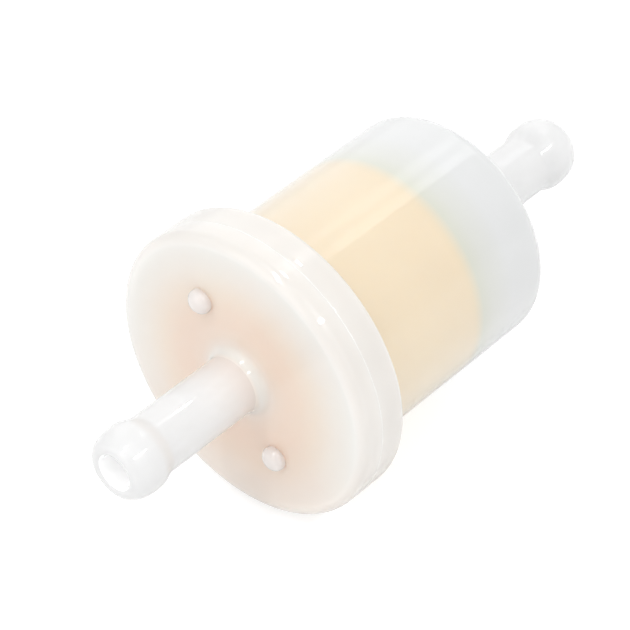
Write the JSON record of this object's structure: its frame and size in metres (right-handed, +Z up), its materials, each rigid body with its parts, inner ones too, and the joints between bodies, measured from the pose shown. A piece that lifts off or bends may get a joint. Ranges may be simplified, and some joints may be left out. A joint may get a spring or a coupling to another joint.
{
  "type": "fuel filter",
  "caption": "In-line fuel filter for a small engine: flanged translucent cup and cap, a rounded hose nozzle at each end, nubs on the cap and a pleated paper element inside.",
  "frame": {"origin": "on the flow axis, halfway between the two nozzle mouths", "axes": "X runs along the flow axis, with the flanged outlet cap at -X and the inlet cup at +X; +Z is up with the flow axis level"},
  "size_m": [0.0738, 0.035, 0.035],
  "materials": {
    "natural_plastic": "clear-moulded natural plastic, milky and translucent",
    "weld_plastic": "remelted natural plastic",
    "outlet_plate_plastic": "satin moulded, warm tan",
    "inlet_plate_plastic": "satin moulded, pale olive",
    "core_plastic": "satin moulded",
    "adhesive": "set hot-melt adhesive",
    "filter_paper": "resin-treated filter paper"
  },
  "bodies": {
    "root": {"inlet_cup": "natural_plastic", "outlet_cap": "natural_plastic", "weld_bead": "weld_plastic", "outlet_end_plate": "outlet_plate_plastic", "outlet_end_adhesive": "adhesive", "pleated_paper": "filter_paper", "pleat_seam": "adhesive", "core_tube": "core_plastic", "inlet_end_adhesive": "adhesive", "inlet_end_plate": "inlet_plate_plastic"}
  },
  "joints": []
}
